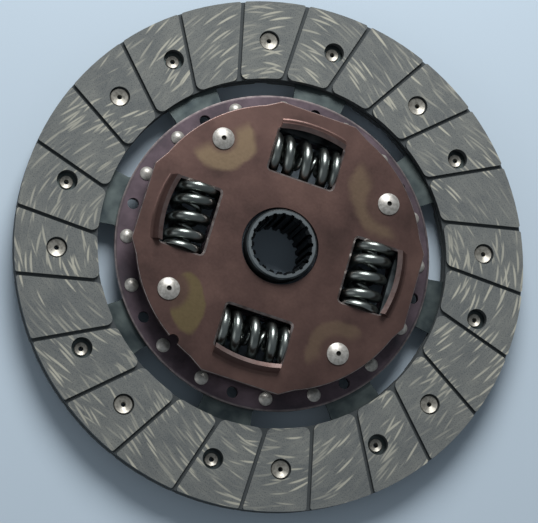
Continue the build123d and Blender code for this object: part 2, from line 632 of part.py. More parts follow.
washer_bore_r = HUB_BARREL_R + WASHER_CLEARANCE
write("hub", hub())
write("friction_bush", friction_bush())
write("friction_washer", ring(FRICTION_RING_R, washer_bore_r, WASHER_REAR_Z, THRUST_PLATE_REAR_Z))
write("thrust_plate", ring(FRICTION_RING_R, washer_bore_r, THRUST_PLATE_REAR_Z, CONE_SPRING_REAR_Z))
write("cone_spring", cone_spring())
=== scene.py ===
import math

import bpy
import numpy as np
from mathutils import Matrix, Vector


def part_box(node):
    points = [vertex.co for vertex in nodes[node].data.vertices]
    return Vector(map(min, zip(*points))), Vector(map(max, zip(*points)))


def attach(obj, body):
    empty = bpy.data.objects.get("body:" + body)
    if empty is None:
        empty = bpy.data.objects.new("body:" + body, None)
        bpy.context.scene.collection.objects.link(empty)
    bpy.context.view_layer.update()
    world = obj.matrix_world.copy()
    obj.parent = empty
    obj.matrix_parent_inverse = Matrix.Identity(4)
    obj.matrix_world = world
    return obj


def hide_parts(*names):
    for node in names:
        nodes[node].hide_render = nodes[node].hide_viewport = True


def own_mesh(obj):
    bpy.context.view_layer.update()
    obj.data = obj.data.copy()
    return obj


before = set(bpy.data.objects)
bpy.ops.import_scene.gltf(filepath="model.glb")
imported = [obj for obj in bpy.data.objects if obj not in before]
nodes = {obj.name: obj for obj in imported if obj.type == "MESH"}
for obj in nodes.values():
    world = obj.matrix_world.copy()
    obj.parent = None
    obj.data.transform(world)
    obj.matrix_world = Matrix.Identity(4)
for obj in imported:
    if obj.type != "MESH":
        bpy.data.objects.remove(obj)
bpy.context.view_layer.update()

# Splined hub: a medium carbon steel forging with its flange in one piece, turned on its barrel and
# end faces and broached for the gearbox shaft. It turns in the plates, against the damper springs.
HUB_STEEL = "#656d70"
HUB_OIL = "#2c3335"
HUB_CUT = "#666d70"                 # the end ring
# Painted shade: the bore is darkened towards this near black, where little light reaches.
HUB_BORE_PAINTED_SHADE = "#121619"
HUB_MOTTLE_MM = 7.0
HUB_MOTTLE_LIMITS = (0.35, 0.65)    # noise at which the oil film is thickest and at which it ends
HUB_END = (0.01645, 0.01665)        # heights, in metres, at which the end ring starts and is full
HUB_BORE = (0.0128, 0.0122)         # radii, in metres, at which the bore's painted shade starts and is full
HUB_BORE_SHADE_SHARE = 0.9
HUB_METALLIC = 0.85
HUB_ROUGHNESS = (0.32, 0.52)
TURNING_MARK_MM = 0.55              # real ones are about 0.15 mm apart, too fine to show
TURNING_MARK_DEPTH_MM = 0.04
TURNING_MARK_STRENGTH = 0.25

# Sockets that go by number: the two limits that a Map Range node reads from and the two that it
# maps to, and a Mix node's share, its two colours and its result.
FROM, TO = (1, 2), (3, 4)
SHARE, COLOUR_0, COLOUR_1 = 0, 6, 7
MIXED = 2
LEVEL = (1, 1, 0)                   # a vector times this is its level part


def linear(code):
    """The linear colour of an sRGB hex value: each channel c is c / 12.92 up to 0.04045 and
    ((c + 0.055) / 1.055) ^ 2.4 above."""
    channels = [int(code[i:i + 2], 16) / 255 for i in (1, 3, 5)]
    return [c / 12.92 if c <= 0.04045 else ((c + 0.055) / 1.055) ** 2.4 for c in channels] + [1.0]


def per_metre(millimetres):
    """The scale that makes a pattern this coarse, in coordinates in metres: 1000 / millimetres."""
    return 1000.0 / millimetres


def add(material, kind, inputs, **settings):
    """Adds one node and returns its outputs. settings are its own properties. Each input is a
    value, or a socket that is linked, and a pair of inputs such as FROM takes a pair of them."""
    made = material.node_tree.nodes.new("ShaderNode" + kind)
    for name, value in settings.items():
        setattr(made, name, value)
    for socket, value in inputs.items():
        pairs = zip(socket, value) if isinstance(socket, tuple) else [(socket, value)]
        for one, given in pairs:
            if isinstance(given, bpy.types.NodeSocket):
                material.node_tree.links.new(given, made.inputs[one])
            else:
                made.inputs[one].default_value = given
    return made.outputs


def start_material(name):
    """An empty material, and the socket of its object's own coordinates, in metres."""
    material = bpy.data.materials.new(name)
    material.use_nodes = True
    material.node_tree.nodes.clear()
    return material, add(material, "TexCoord", {})["Object"]


def shaded(material, pattern, limits, first, second):
    """The colour that goes from first to second as the pattern goes through its limits: first +
    (second - first) * share, and share = (pattern - lower) / (upper - lower), held between 0 and 1.
    Each colour is a hex value or a socket."""
    share = add(material, "MapRange", {"Value": pattern, FROM: limits})[0]
    colours = [linear(one) if isinstance(one, str) else one for one in (first, second)]
    return add(material, "Mix", {SHARE: share, (COLOUR_0, COLOUR_1): colours},
               data_type="RGBA")[MIXED]


def level_radius(material, place):
    """Distance from the upright axis of these coordinates: (x ^ 2 + y ^ 2) ^ 0.5."""
    level = add(material, "VectorMath", {0: place, 1: LEVEL}, operation="MULTIPLY")[0]
    return add(material, "VectorMath", {0: level}, operation="LENGTH")["Value"]


def finish_material(material, **inputs):
    """Ends a material in one principled surface with these sockets, named with _ for a space."""
    sockets = {name.replace("_", " "): value for name, value in inputs.items()}
    surface = add(material, "BsdfPrincipled", sockets)
    add(material, "OutputMaterial", {"Surface": surface[0]})


def dress(material, *names):
    """Puts a material into every material slot of these nodes."""
    for name in names:
        for slot in nodes[name].material_slots:
            slot.material = material


# Turned forged steel under a film of rust-preventing oil: dark, with soft broad highlights and fine
# rings round the axis. The end ring is paler, where the tool cut last. The bore has painted shade.
turned_steel, place = start_material("turned_oiled_forged_steel")
mottle = add(turned_steel, "TexNoise", {"Vector": place, "Scale": per_metre(HUB_MOTTLE_MM),
                                        "Detail": 4.0})[0]
tone = shaded(turned_steel, mottle, HUB_MOTTLE_LIMITS, HUB_OIL, HUB_STEEL)
height = add(turned_steel, "SeparateXYZ", {0: place})[2]
radius = level_radius(turned_steel, place)
rings = add(turned_steel, "CombineXYZ", {0: radius, 1: height})[0]
marks = add(turned_steel, "TexNoise", {"Vector": rings, "Scale": per_metre(TURNING_MARK_MM)})[0]
relief = add(turned_steel, "Bump", {"Height": marks, "Strength": TURNING_MARK_STRENGTH,
                                    "Distance": TURNING_MARK_DEPTH_MM / 1000})[0]
tone = shaded(turned_steel, height, HUB_END, tone, HUB_CUT)
# Painted shade in the bore: below the end ring and inside the spline radius the tone darkens.
in_bore = add(turned_steel, "MapRange", {"Value": radius, FROM: HUB_BORE})[0]
below_end = add(turned_steel, "MapRange", {"Value": height, FROM: HUB_END[::-1],
                                           TO: (0.0, HUB_BORE_SHADE_SHARE)})[0]
bore_shade = add(turned_steel, "Math", {0: in_bore, 1: below_end}, operation="MULTIPLY")[0]
tone = add(turned_steel, "Mix", {SHARE: bore_shade, COLOUR_0: tone, COLOUR_1: linear(HUB_BORE_PAINTED_SHADE)},
           data_type="RGBA")[MIXED]
dullness = add(turned_steel, "MapRange", {"Value": mottle, TO: HUB_ROUGHNESS})[0]
finish_material(turned_steel, Base_Color=tone, Metallic=HUB_METALLIC, Roughness=dullness,
                Normal=relief)
dress(turned_steel, "hub")

# Friction stack round the hub: a moulded bush and washer against the flange, a stamped thrust plate
# and a conical spring. The riveted plates press them together, and only a few of their edges show,
# in the plates' bores.
NYLON = "#2b2a28"
NYLON_ROUGHNESS = (0.42, 0.6)
NYLON_GRAIN_DEPTH_MM = 0.05
NYLON_GRAIN_STRENGTH = 0.2
BLUED_STEEL = "#3b4046"
BLUED_METALLIC = 0.9
BLUED_ROUGHNESS = (0.28, 0.45)
STACK_GRAIN_MM = 1.2                # real grain is about 0.2 mm, too fine to show

# Glass-filled nylon, as it leaves the mould: black-brown and satin, with a fine pebbly grain.
moulded_nylon, place = start_material("moulded_glass_filled_nylon")
grain = add(moulded_nylon, "TexNoise", {"Vector": place, "Scale": per_metre(STACK_GRAIN_MM),
                                        "Detail": 3.0})[0]
relief = add(moulded_nylon, "Bump", {"Height": grain, "Strength": NYLON_GRAIN_STRENGTH,
                                     "Distance": NYLON_GRAIN_DEPTH_MM / 1000})[0]
dullness = add(moulded_nylon, "MapRange", {"Value": grain, TO: NYLON_ROUGHNESS})[0]
finish_material(moulded_nylon, Base_Color=linear(NYLON), Roughness=dullness, Normal=relief)
dress(moulded_nylon, "friction_bush", "friction_washer")

# Spring steel strip, stamped and blued in the furnace: dark blue-grey with uneven gloss.
blued_steel, place = start_material("blued_spring_steel_stampings")
grain = add(blued_steel, "TexNoise", {"Vector": place, "Scale": per_metre(STACK_GRAIN_MM),
                                      "Detail": 3.0})[0]
dullness = add(blued_steel, "MapRange", {"Value": grain, TO: BLUED_ROUGHNESS})[0]
finish_material(blued_steel, Base_Color=linear(BLUED_STEEL), Metallic=BLUED_METALLIC,
                Roughness=dullness)
dress(blued_steel, "thrust_plate", "cone_spring")

# Disc plate: 2.2 mm low carbon steel strip, blanked, pressed with its window hoods and then
# carbonitrided and oiled. It carries the cushion plates on its rim, and stop pins hold it to the
# front plate.
DISC_PLATE_BROWN = "#4d4249"
DISC_PLATE_PALE = "#675961"
DISC_PLATE_DARK = "#35343a"
DISC_PLATE_PALER = (0.45, 0.68)     # noise at which the paler patches start and are full
DISC_PLATE_SCALE = 0.6              # roughness of that noise
DISC_PLATE_METALLIC = 0.6
DISC_PLATE_ROUGHNESS = (0.4, 0.58)
DISC_PLATE_FRONT_MM = 2.55          # height of its front face
DISC_PLATE_EDGE_HIGHLIGHT = (0.25, 0.9)      # least and most painted highlight along its edges
DISC_GRAIN_DEPTH_MM = 0.04
DISC_GRAIN_STRENGTH = 0.25
DISC_RIM = (0.0611, 0.0620)         # radii, in metres, between which the rim rolls off and has painted highlight
DISC_RIM_DROP = (0.0005, 0.0)       # height, in metres, that it has there
NO_LIP_MM = 1000.0                  # above every face: this plate's hoods point backwards
SCALE_PATCH_MM = 16.0
SCALE_DARKER = (0.46, 0.3)          # noise at which the darker patches start and are full
SCALE_GRAIN_MM = 0.9                # real scale grains are 0.1 mm or less, too fine to show
# Painted highlight: pale metal colour along rolled edges, the disc plate's rim and hood lips.
PAINTED_EDGE_HIGHLIGHT = "#a89d9b"
EDGE_HIGHLIGHT_PATCH_MM = 2.5
EDGE_HIGHLIGHT_PATCH_LIMITS = (0.3, 0.6)       # noise at which the painted highlight is least and most
EDGE_TOP_MM = 0.02                  # a painted edge highlight reaches from this far above the front face
EDGE_DEPTH_MM = 0.9                 # to this far below it
EDGE_LEAN = (0.97, 0.85)            # upright part of the normal where painted highlight starts and is full
EDGE_STEEP = (0.2, 0.45)            # and where it has ended and is still full, by the upright cut
LIP_SHARE = 0.35                    # painted highlight on a hood's lip, where 1 is that on a plate's edge


def furnace_scale(material, place, roughness, paler, brown, pale, dark):
    """Brown with paler and darker patches of one noise: paler above its limits, darker below."""
    patches = add(material, "TexNoise", {"Vector": place, "Scale": per_metre(SCALE_PATCH_MM),
                                         "Detail": 5.0, "Roughness": roughness})[0]
    tone = shaded(material, patches, paler, brown, pale)
    return shaded(material, patches, SCALE_DARKER, tone, dark)


def edge_highlight_patches(material, place, wear):
    """How much painted highlight shows along an edge, in noise patches between the two shares."""
    highlight_patches = add(material, "TexNoise", {"Vector": place, "Scale": per_metre(EDGE_HIGHLIGHT_PATCH_MM),
                                       "Detail": 3.0})[0]
    return add(material, "MapRange", {"Value": highlight_patches, FROM: EDGE_HIGHLIGHT_PATCH_LIMITS, TO: wear})[0]


def edge_highlight_share(material, place, highlight_patches, front_mm, lip_mm):
    """Share of painted highlight where light catches an edge: leaning * highlight_patches * (1 just
    below the front face, LIP_SHARE above lip_mm on a face that leans towards the shaft, else 0).
    leaning is 1 for faces 32 to 63 degrees from level and fades out to 0 at 14 and 78 degrees."""
    normal = add(material, "NewGeometry", {})["True Normal"]
    upright = add(material, "SeparateXYZ", {0: normal})[2]
    upright = add(material, "Math", {0: upright}, operation="ABSOLUTE")[0]
    rolled = add(material, "MapRange", {"Value": upright, FROM: EDGE_LEAN})[0]
    steep = add(material, "MapRange", {"Value": upright, FROM: EDGE_STEEP})[0]
    leaning = add(material, "Math", {0: rolled, 1: steep}, operation="MULTIPLY")[0]
    height = add(material, "SeparateXYZ", {0: place})[2]
    below = add(material, "Math", {0: height, 1: (front_mm + EDGE_TOP_MM) / 1000},
                operation="LESS_THAN")[0]
    near = add(material, "Math", {0: height, 1: (front_mm - EDGE_DEPTH_MM) / 1000},
               operation="GREATER_THAN")[0]
    front = add(material, "Math", {0: below, 1: near}, operation="MULTIPLY")[0]
    level = add(material, "VectorMath", {0: place, 1: LEVEL}, operation="MULTIPLY")[0]
    facing = add(material, "VectorMath", {0: normal, 1: level}, operation="DOT_PRODUCT")["Value"]
    inward = add(material, "Math", {0: facing, 1: 0.0}, operation="LESS_THAN")[0]
    above = add(material, "Math", {0: height, 1: lip_mm / 1000}, operation="GREATER_THAN")[0]
    lip = add(material, "Math", {0: inward, 1: above}, operation="MULTIPLY")[0]
    lip = add(material, "Math", {0: lip, 1: LIP_SHARE}, operation="MULTIPLY")[0]
    either = add(material, "Math", {0: front, 1: lip}, operation="MAXIMUM")[0]
    highlit = add(material, "Math", {0: either, 1: leaning}, operation="MULTIPLY")[0]
    return add(material, "Math", {0: highlit, 1: highlight_patches}, operation="MULTIPLY")[0]


# Carbonitrided pressed steel: a dull purplish brown from the furnace, in cloudy patches, with a
# painted highlight in pale metal colour along its rolled edges and rim.
purple_steel, place = start_material("carbonitrided_pressed_steel_purple")
tone = furnace_scale(purple_steel, place, DISC_PLATE_SCALE, DISC_PLATE_PALER,
                     DISC_PLATE_BROWN, DISC_PLATE_PALE, DISC_PLATE_DARK)
highlight_patches = edge_highlight_patches(purple_steel, place, DISC_PLATE_EDGE_HIGHLIGHT)
# Painted highlight along the rolled edges, where light catches them.
highlit = edge_highlight_share(purple_steel, place, highlight_patches, DISC_PLATE_FRONT_MM, NO_LIP_MM)
tone = add(purple_steel, "Mix", {SHARE: highlit, COLOUR_0: tone, COLOUR_1: linear(PAINTED_EDGE_HIGHLIGHT)},
           data_type="RGBA")[MIXED]
radius = level_radius(purple_steel, place)
# Painted highlight on the rim as it rolls off.
rim = add(purple_steel, "MapRange", {"Value": radius, FROM: DISC_RIM})[0]
highlit = add(purple_steel, "Math", {0: rim, 1: highlight_patches}, operation="MULTIPLY")[0]
tone = add(purple_steel, "Mix", {SHARE: highlit, COLOUR_0: tone, COLOUR_1: linear(PAINTED_EDGE_HIGHLIGHT)},
           data_type="RGBA")[MIXED]
# The rim's true height is its bump's height, so that its distance and strength are 1.
rolled = add(purple_steel, "MapRange", {"Value": radius, FROM: DISC_RIM, TO: DISC_RIM_DROP})[0]
rolled = add(purple_steel, "Bump", {"Height": rolled, "Strength": 1.0, "Distance": 1.0})[0]
grain = add(purple_steel, "TexNoise", {"Vector": place, "Scale": per_metre(SCALE_GRAIN_MM),
                                       "Detail": 3.0})[0]
relief = add(purple_steel, "Bump", {"Height": grain, "Strength": DISC_GRAIN_STRENGTH,
                                    "Distance": DISC_GRAIN_DEPTH_MM / 1000, "Normal": rolled})[0]
dullness = add(purple_steel, "MapRange", {"Value": grain, TO: DISC_PLATE_ROUGHNESS})[0]
finish_material(purple_steel, Base_Color=tone, Metallic=DISC_PLATE_METALLIC, Roughness=dullness,
                Normal=relief)
dress(purple_steel, "disc_plate")

# Cushion plates: eight 0.7 mm waved leaves of hardened strip steel, each behind three of the
# facings' pads. Their feet are riveted to the disc plate, and their necks show outside it.
CUSHION_GREEN = "#5d6766"
CUSHION_DARK = "#394346"
CUSHION_PATCH_MM = 9.0
CUSHION_LIMITS = (0.35, 0.65)       # noise at which the oil is darkest and palest
CUSHION_METALLIC = 0.7
CUSHION_ROUGHNESS = (0.3, 0.5)
cushion_names = [name for name in nodes if name.startswith("cushion_plate_")]

# Hardened strip steel under a film of oil: smooth and grey-green, darker where the oil has run.
strip_steel, place = start_material("oiled_hardened_strip_steel")
patches = add(strip_steel, "TexNoise", {"Vector": place, "Scale": per_metre(CUSHION_PATCH_MM),
                                        "Detail": 4.0})[0]
tone = shaded(strip_steel, patches, CUSHION_LIMITS, CUSHION_DARK, CUSHION_GREEN)
dullness = add(strip_steel, "MapRange", {"Value": patches, TO: CUSHION_ROUGHNESS})[0]
finish_material(strip_steel, Base_Color=tone, Metallic=CUSHION_METALLIC, Roughness=dullness)
dress(strip_steel, *cushion_names)

# Cushion rivets and stop pins: bright cold-headed steel. The rivets fix the cushion plates' feet.
# The shouldered pins join the two plates, each end peened over its plate by a spinning tool.
BRIGHT_STEEL = "#c4c1bb"
STRUCK_STEEL = "#aba8a1"
# Painted shade for the hollow dimple in each pin's head.
DIMPLE_PAINTED_SHADE = "#2b2823"
HAMMER_MARK_MM = 1.1                # real marks are 0.3 mm or less, too fine to show
HAMMER_MARK_LIMITS = (0.38, 0.6)    # noise at which a struck patch ends and is fully bright
HAMMER_MARK_DEPTH_MM = 0.1
HAMMER_MARK_STRENGTH = 0.16
HEADED_METALLIC = 0.55
HEADED_ROUGHNESS = (0.32, 0.5)
DIMPLE_EDGE = (0.00107, 0.00085)    # distances, in metres, from a pin's axis: no painted shade and full
PIN_CIRCLE_MM = 46.5
PIN_ANGLES = (39.5, 135.0, 219.5, 315.0)    # degrees
pin_names = [name for name in nodes if name.startswith("stop_pin_")]

# Peened bright steel: a pale satin head, mottled by the tool, with painted shade in each pin's
# dimple.
headed_steel, place = start_material("peened_bright_steel")
struck = add(headed_steel, "TexNoise", {"Vector": place, "Scale": per_metre(HAMMER_MARK_MM),
                                        "Detail": 3.0})[0]
tone = shaded(headed_steel, struck, HAMMER_MARK_LIMITS, STRUCK_STEEL, BRIGHT_STEEL)
level = add(headed_steel, "VectorMath", {0: place, 1: LEVEL}, operation="MULTIPLY")[0]
# Painted shade: darkened towards near black round each pin's axis, in its dimple.
for angle in PIN_ANGLES:
    turn = math.radians(angle)
    middle = (math.cos(turn) * PIN_CIRCLE_MM / 1000, math.sin(turn) * PIN_CIRCLE_MM / 1000, 0)
    reach = add(headed_steel, "VectorMath", {0: level, 1: middle}, operation="DISTANCE")["Value"]
    tone = shaded(headed_steel, reach, DIMPLE_EDGE, tone, DIMPLE_PAINTED_SHADE)
relief = add(headed_steel, "Bump", {"Height": struck, "Strength": HAMMER_MARK_STRENGTH,
                                    "Distance": HAMMER_MARK_DEPTH_MM / 1000})[0]
dullness = add(headed_steel, "MapRange", {"Value": struck, TO: HEADED_ROUGHNESS})[0]
finish_material(headed_steel, Base_Color=tone, Metallic=HEADED_METALLIC, Roughness=dullness,
                Normal=relief)
dress(headed_steel, "cushion_rivets", *pin_names)

# Damper springs: four nested pairs, cold coiled from oil-tempered chrome silicon wire, with closed
# and ground ends, shot peened. They sit in the windows of both plates and of the hub's flange.
SPRING_BLACK = "#7d8380"
SPRING_WORN = "#a3a9a5"
SPRING_PATCH_MM = 9.0
SPRING_WEAR = (0.4, 0.7)            # noise at which the black starts to wear and is worn
SPRING_METALLIC = 1.0
SPRING_ROUGHNESS = (0.24, 0.36)
PEENING_MM = 0.7                    # real dents and lines are 0.1 mm or less, too fine to show
DRAWING_LINE_MM = 0.35
DRAWING_STRETCH = 0.04              # lines are this much narrower than they are long
WIRE_RELIEF_DEPTH_MM = 0.03
WIRE_RELIEF_STRENGTH = 0.15
SPRING_LENGTH = 0.026               # metres, as the next two
SPRING_CIRCLE = 0.036               # radius at which the springs lie round the shaft
SPRING_HEIGHT = 0.00687             # height of their axes
SECTIONS_PER_TURN = 56
SIDES_ROUND_WIRE = 20
GROUND_EDGE_ANGLE = 40              # degrees, above which an edge of the mesh stays sharp
# Lengths in metres. start is the number of turns from the wire's end to where it first faces the
# front plate, and sense is 1 for right-hand winding and -1 for left-hand.
OUTER_COIL = dict(outer_r=0.0086, wire_r=0.0020, pitch=0.0070, end_pitch=0.0046,
                  start=0.25, sense=1)
INNER_COIL = dict(outer_r=0.0041, wire_r=0.0011, pitch=0.0046, end_pitch=0.0027,
                  start=0.07, sense=-1)
# Angle of each window in degrees, and whether its springs lie end for end.
SPRING_PLACES = ((0, True), (90, True), (180, False), (270, False))


def skin(name, points, u, v, material):
    """A closed tube's piece from a grid of points, rows x columns x 3. Square faces join each row
    to the next and the last column to the first, and one face caps each end row. In metres, u is
    each row's place along the tube, and v each column's place round it, with one more for the
    seam."""
    rows, columns = points.shape[:2]
    along, around = np.meshgrid(np.arange(rows - 1), np.arange(columns), indexing="ij")
    after = (around + 1) % columns
    quads = np.stack([along * columns + around, (along + 1) * columns + around,
                      (along + 1) * columns + after, along * columns + after], -1).reshape(-1, 4)
    caps = [list(range(columns)), list(range((rows - 1) * columns, rows * columns))[::-1]]
    mesh = bpy.data.meshes.new(name)
    mesh.from_pydata(points.reshape(-1, 3).tolist(), [], quads.tolist() + caps)
    corner_u = np.stack([u[along], u[along + 1], u[along + 1], u[along]], -1)
    corner_v = np.stack([v[around], v[around], v[around + 1], v[around + 1]], -1)
    corners = np.stack([corner_u, corner_v], -1).reshape(-1, 2)
    corners = np.concatenate([corners, np.zeros((2 * columns, 2))]).astype(np.float32)
    mesh.uv_layers.new(name="wire").data.foreach_set("uv", corners.ravel())
    mesh.polygons.foreach_set("use_smooth", [True] * len(mesh.polygons))
    mesh.set_sharp_from_angle(angle=math.radians(GROUND_EDGE_ANGLE))
    mesh.materials.append(material)
    mesh.update()
    piece = bpy.data.objects.new(name, mesh)
    bpy.context.scene.collection.objects.link(piece)
    return piece


def wound_wire(name, angle, end_for_end, material, outer_r, wire_r, pitch, end_pitch, start, sense):
    """One coil spring, laid in its window. After n turns its centre line is at the coil's radius
    times (cos theta, sin theta), theta = sense * 2 pi * (n - start) - pi / 2, and has climbed by
    climb(n): the end pitch over the first and the last turn, and the open pitch for each turn
    between. The wire is a circle square to that line. Both ends are ground flat, by holding every
    point within the spring's length."""
    turns = 2 + (SPRING_LENGTH - 2 * end_pitch) / pitch
    n = np.linspace(0, turns, int(turns * SECTIONS_PER_TURN) + 1)
    climb = np.interp(n, [0, 1, turns - 1, turns],
                      [0, end_pitch, SPRING_LENGTH - end_pitch, SPRING_LENGTH])
    theta = -math.pi / 2 + sense * 2 * math.pi * (n - start)
    outward = np.stack([np.cos(theta), np.sin(theta), 0 * theta], -1)
    line = (outer_r - wire_r) * outward
    line[:, 2] = climb - SPRING_LENGTH / 2
    tangent = np.gradient(line, axis=0)
    tangent /= np.linalg.norm(tangent, axis=1, keepdims=True)
    across = np.cross(tangent, outward)
    phi = np.linspace(0, 2 * math.pi, SIDES_ROUND_WIRE, endpoint=False)
    grid = line[:, None] + wire_r * (np.cos(phi)[None, :, None] * outward[:, None]
                                     + np.sin(phi)[None, :, None] * across[:, None])
    x, y, z = np.moveaxis(grid, -1, 0)
    z = np.clip(z, -SPRING_LENGTH / 2, SPRING_LENGTH / 2)
    side = -1 if end_for_end else 1
    out, beside = side * x + SPRING_CIRCLE, side * z
    c, s = math.cos(math.radians(angle)), math.sin(math.radians(angle))
    placed = np.stack([c * out - s * beside, s * out + c * beside, SPRING_HEIGHT - y], -1)
    u = np.concatenate([[0], np.cumsum(np.linalg.norm(np.diff(line, axis=0), axis=1))])
    v = np.append(phi, 2 * math.pi) * wire_r
    return skin(name, placed[:, ::-1], u, v, material)


# Oil-tempered, shot-peened spring wire: a dark lustre with broad pale highlights along each turn,
# faintly dented, with fine lines from the drawing die that follow the wire.
tempered_wire, place = start_material("oil_tempered_spring_wire")
patches = add(tempered_wire, "TexNoise", {"Vector": place, "Scale": per_metre(SPRING_PATCH_MM),
                                          "Detail": 3.0})[0]
tone = shaded(tempered_wire, patches, SPRING_WEAR, SPRING_BLACK, SPRING_WORN)
peening = add(tempered_wire, "TexNoise", {"Vector": place, "Scale": per_metre(PEENING_MM)})[0]
lengthwise = add(tempered_wire, "UVMap", {}, uv_map="wire")[0]
lengthwise = add(tempered_wire, "VectorMath", {0: lengthwise, 1: (DRAWING_STRETCH, 1, 1)},
                 operation="MULTIPLY")[0]
drawn = add(tempered_wire, "TexNoise", {"Vector": lengthwise,
                                        "Scale": per_metre(DRAWING_LINE_MM)})[0]
height = add(tempered_wire, "Math", {0: peening, 1: drawn}, operation="ADD")[0]
relief = add(tempered_wire, "Bump", {"Height": height, "Strength": WIRE_RELIEF_STRENGTH,
                                     "Distance": WIRE_RELIEF_DEPTH_MM / 1000})[0]
dullness = add(tempered_wire, "MapRange", {"Value": patches, TO: SPRING_ROUGHNESS})[0]
finish_material(tempered_wire, Base_Color=tone, Metallic=SPRING_METALLIC, Roughness=dullness,
                Normal=relief)
for number, (angle, end_for_end) in enumerate(SPRING_PLACES, start=1):
    turn = math.radians(angle)
    for kind, coil in (("outer", OUTER_COIL), ("inner", INNER_COIL)):
        node = "%s_spring_%d" % (kind, number)
        spring = wound_wire("wound_" + node, angle, end_for_end, tempered_wire, **coil)
        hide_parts(node)
        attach(spring, "disc")
        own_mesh(spring)

# Front plate: 2 mm carbonitrided steel strip over the springs, blanked and pressed with a hood
# along each window's outer edge. The stop pins rivet it to the disc plate.
FRONT_BROWN = "#614b46"
FRONT_PALE = "#725952"
FRONT_DARK = "#513f3b"
FRONT_PALER = (0.48, 0.72)          # noise at which the paler patches start and are full
FRONT_SCALE = 0.5                   # roughness of that noise
FRONT_METALLIC = 0.75
FRONT_ROUGHNESS = (0.28, 0.4)
FRONT_EDGE_HIGHLIGHT = (0.3, 0.95)           # least and most painted highlight along its edges
FRONT_GRAIN_DEPTH_MM = 0.03
FRONT_GRAIN_STRENGTH = 0.2
FRONT_PLATE_FRONT_MM = 13.19        # height of its front face
HOOD_LIP_MM = 15.5                  # height above which a face is on a hood's lip
STAIN_TAN = "#8a775f"
STAIN_OLIVE = "#76684a"
STAIN_EDGE_MM = 7.0                 # coarseness of a stain's ragged outline
STAIN_RAGGED = (-0.16, 0.16)        # share of its width by which a stain's outline wanders
STAIN_OUTLINE = (1.08, 0.9)         # shares of its half width at which it starts and is full
STAIN_RING_FADE = (-2.0, 0.9)       # mm inside and outside the clean ring's radius
STAIN_RING_SHARE = 0.15             # what is left of the stain inside the ring
STAIN_SIDE_FADE = (2.5, -2.5)       # mm outwards and inwards of the stain's outer side
# Each stain beside a pin: the pin's angle, and in millimetres how far outwards and anticlockwise of
# the pin its middle lies, and its half width and height. tilt is the angle that it is turned by.
# clean is the radius of the ring round the pin that stays clean, and side is how far outwards of
# the pin the stain ends.
STAINS = (
    dict(pin=135.0, out=0.0, past=0.0, wide=12.6, high=12.6, tilt=0, clean=6.0, side=0.5,
         colour=STAIN_TAN, strength=0.85),
    dict(pin=39.5, out=4.3, past=2.3, wide=18.4, high=18.4, tilt=0, clean=9.6, side=-3.5,
         colour=STAIN_TAN, strength=0.5),
    dict(pin=219.5, out=-4.8, past=7.4, wide=11.6, high=6.6, tilt=67, clean=8.4, side=9.0,
         colour=STAIN_OLIVE, strength=0.9),
    dict(pin=315.0, out=0.0, past=0.0, wide=12.6, high=12.6, tilt=0, clean=7.8, side=-2.5,
         colour=STAIN_TAN, strength=0.42))


def dried_stain(material, place, ragged, tone, pin, out, past, wide, high, tilt, clean, side,
                colour, strength):
    """The tone with one stain in it. Its share is oval * ring * inside: oval is 1 in the stain's
    ragged ellipse, ring is low near the pin, and inside is the strength inwards of a straight
    line across the pin's radius and 0 outwards of it."""
    turn = math.radians(pin)
    outwards = np.array((math.cos(turn), math.sin(turn), 0))
    anticlockwise = np.array((-math.sin(turn), math.cos(turn), 0))
    pin_axis = PIN_CIRCLE_MM / 1000 * outwards
    middle = ((PIN_CIRCLE_MM + out) * outwards + past * anticlockwise) / 1000
    in_oval = add(material, "Mapping", {"Vector": place, "Location": tuple(middle),
                                        "Rotation": (0, 0, turn + math.radians(tilt)),
                                        "Scale": (wide / 1000, high / 1000, 1)},
                  vector_type="TEXTURE")[0]
    reach = level_radius(material, in_oval)
    reach = add(material, "Math", {0: reach, 1: ragged}, operation="ADD")[0]
    oval = add(material, "MapRange", {"Value": reach, FROM: STAIN_OUTLINE},
               interpolation_type="SMOOTHSTEP")[0]
    from_pin = add(material, "Mapping", {"Vector": place, "Location": tuple(pin_axis),
                                         "Rotation": (0, 0, turn), "Scale": (0.001, 0.001, 1)},
                   vector_type="TEXTURE")[0]
    reach = level_radius(material, from_pin)
    ring_limits = [clean + fade for fade in STAIN_RING_FADE]
    ring = add(material, "MapRange", {"Value": reach, FROM: ring_limits,
                                      TO: (STAIN_RING_SHARE, 1.0)},
               interpolation_type="SMOOTHSTEP")[0]
    beyond = add(material, "SeparateXYZ", {0: from_pin})[0]
    side_limits = [side + fade for fade in STAIN_SIDE_FADE]
    inside = add(material, "MapRange", {"Value": beyond, FROM: side_limits, TO: (0.0, strength)},
                 interpolation_type="SMOOTHSTEP")[0]
    share = add(material, "Math", {0: oval, 1: ring}, operation="MULTIPLY")[0]
    share = add(material, "Math", {0: share, 1: inside}, operation="MULTIPLY")[0]
    return add(material, "Mix", {SHARE: share, COLOUR_0: tone, COLOUR_1: linear(colour)},
               data_type="RGBA")[MIXED]


# Carbonitrided pressed steel: a satin reddish brown with a painted highlight, in pale metal colour,
# along its edges and hood lips, and straw and tan stains where salt and oil dried round the pins.
brown_steel, place = start_material("carbonitrided_pressed_steel_brown")
tone = furnace_scale(brown_steel, place, FRONT_SCALE, FRONT_PALER,
                     FRONT_BROWN, FRONT_PALE, FRONT_DARK)
ragged = add(brown_steel, "TexNoise", {"Vector": place, "Scale": per_metre(STAIN_EDGE_MM)})[0]
ragged = add(brown_steel, "MapRange", {"Value": ragged, TO: STAIN_RAGGED})[0]
for stain in STAINS:
    tone = dried_stain(brown_steel, place, ragged, tone, **stain)
highlight_patches = edge_highlight_patches(brown_steel, place, FRONT_EDGE_HIGHLIGHT)
